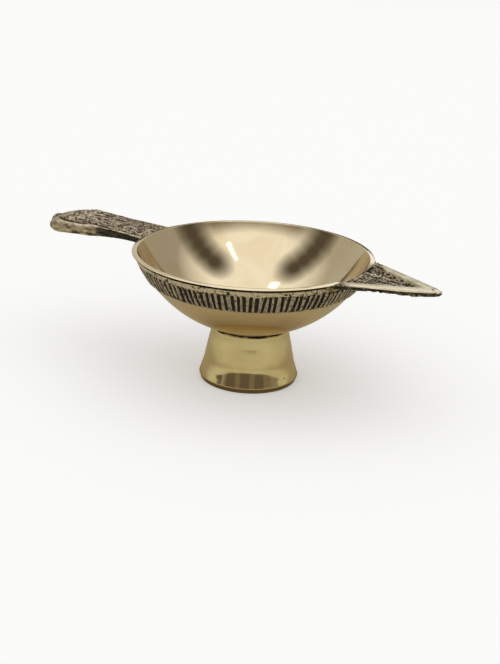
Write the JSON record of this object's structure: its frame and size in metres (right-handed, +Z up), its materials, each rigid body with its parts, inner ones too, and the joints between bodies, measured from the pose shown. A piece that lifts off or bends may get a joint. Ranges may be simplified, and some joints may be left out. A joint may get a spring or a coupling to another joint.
{
  "type": "diya oil lamp",
  "caption": "Footed brass oil lamp: a round open bowl on a flared hollow foot, with a flat relief handle, a ribbed rim band and a pointed wick spout.",
  "frame": {"origin": "centre of the foot's resting ring, on the surface the lamp stands on", "axes": "+Z up; +X from the lamp's axis to the wick spout, so the handle lies along -X; +Y completes a right-handed frame"},
  "size_m": [0.1389, 0.0752, 0.0422],
  "materials": {
    "polished_brass": "turned and polished, faint lathe rings, light tarnish",
    "cast_brass": "as cast relief with dark patina in the hollows and worn tops",
    "braze_filler": "dull brazing alloy, darkened by flux"
  },
  "bodies": {
    "root": {"bowl": "polished_brass", "foot": "polished_brass", "rim_band": "cast_brass", "handle": "cast_brass", "spout": "cast_brass", "foot_braze": "braze_filler", "handle_braze": "braze_filler", "spout_braze": "braze_filler"}
  },
  "joints": []
}
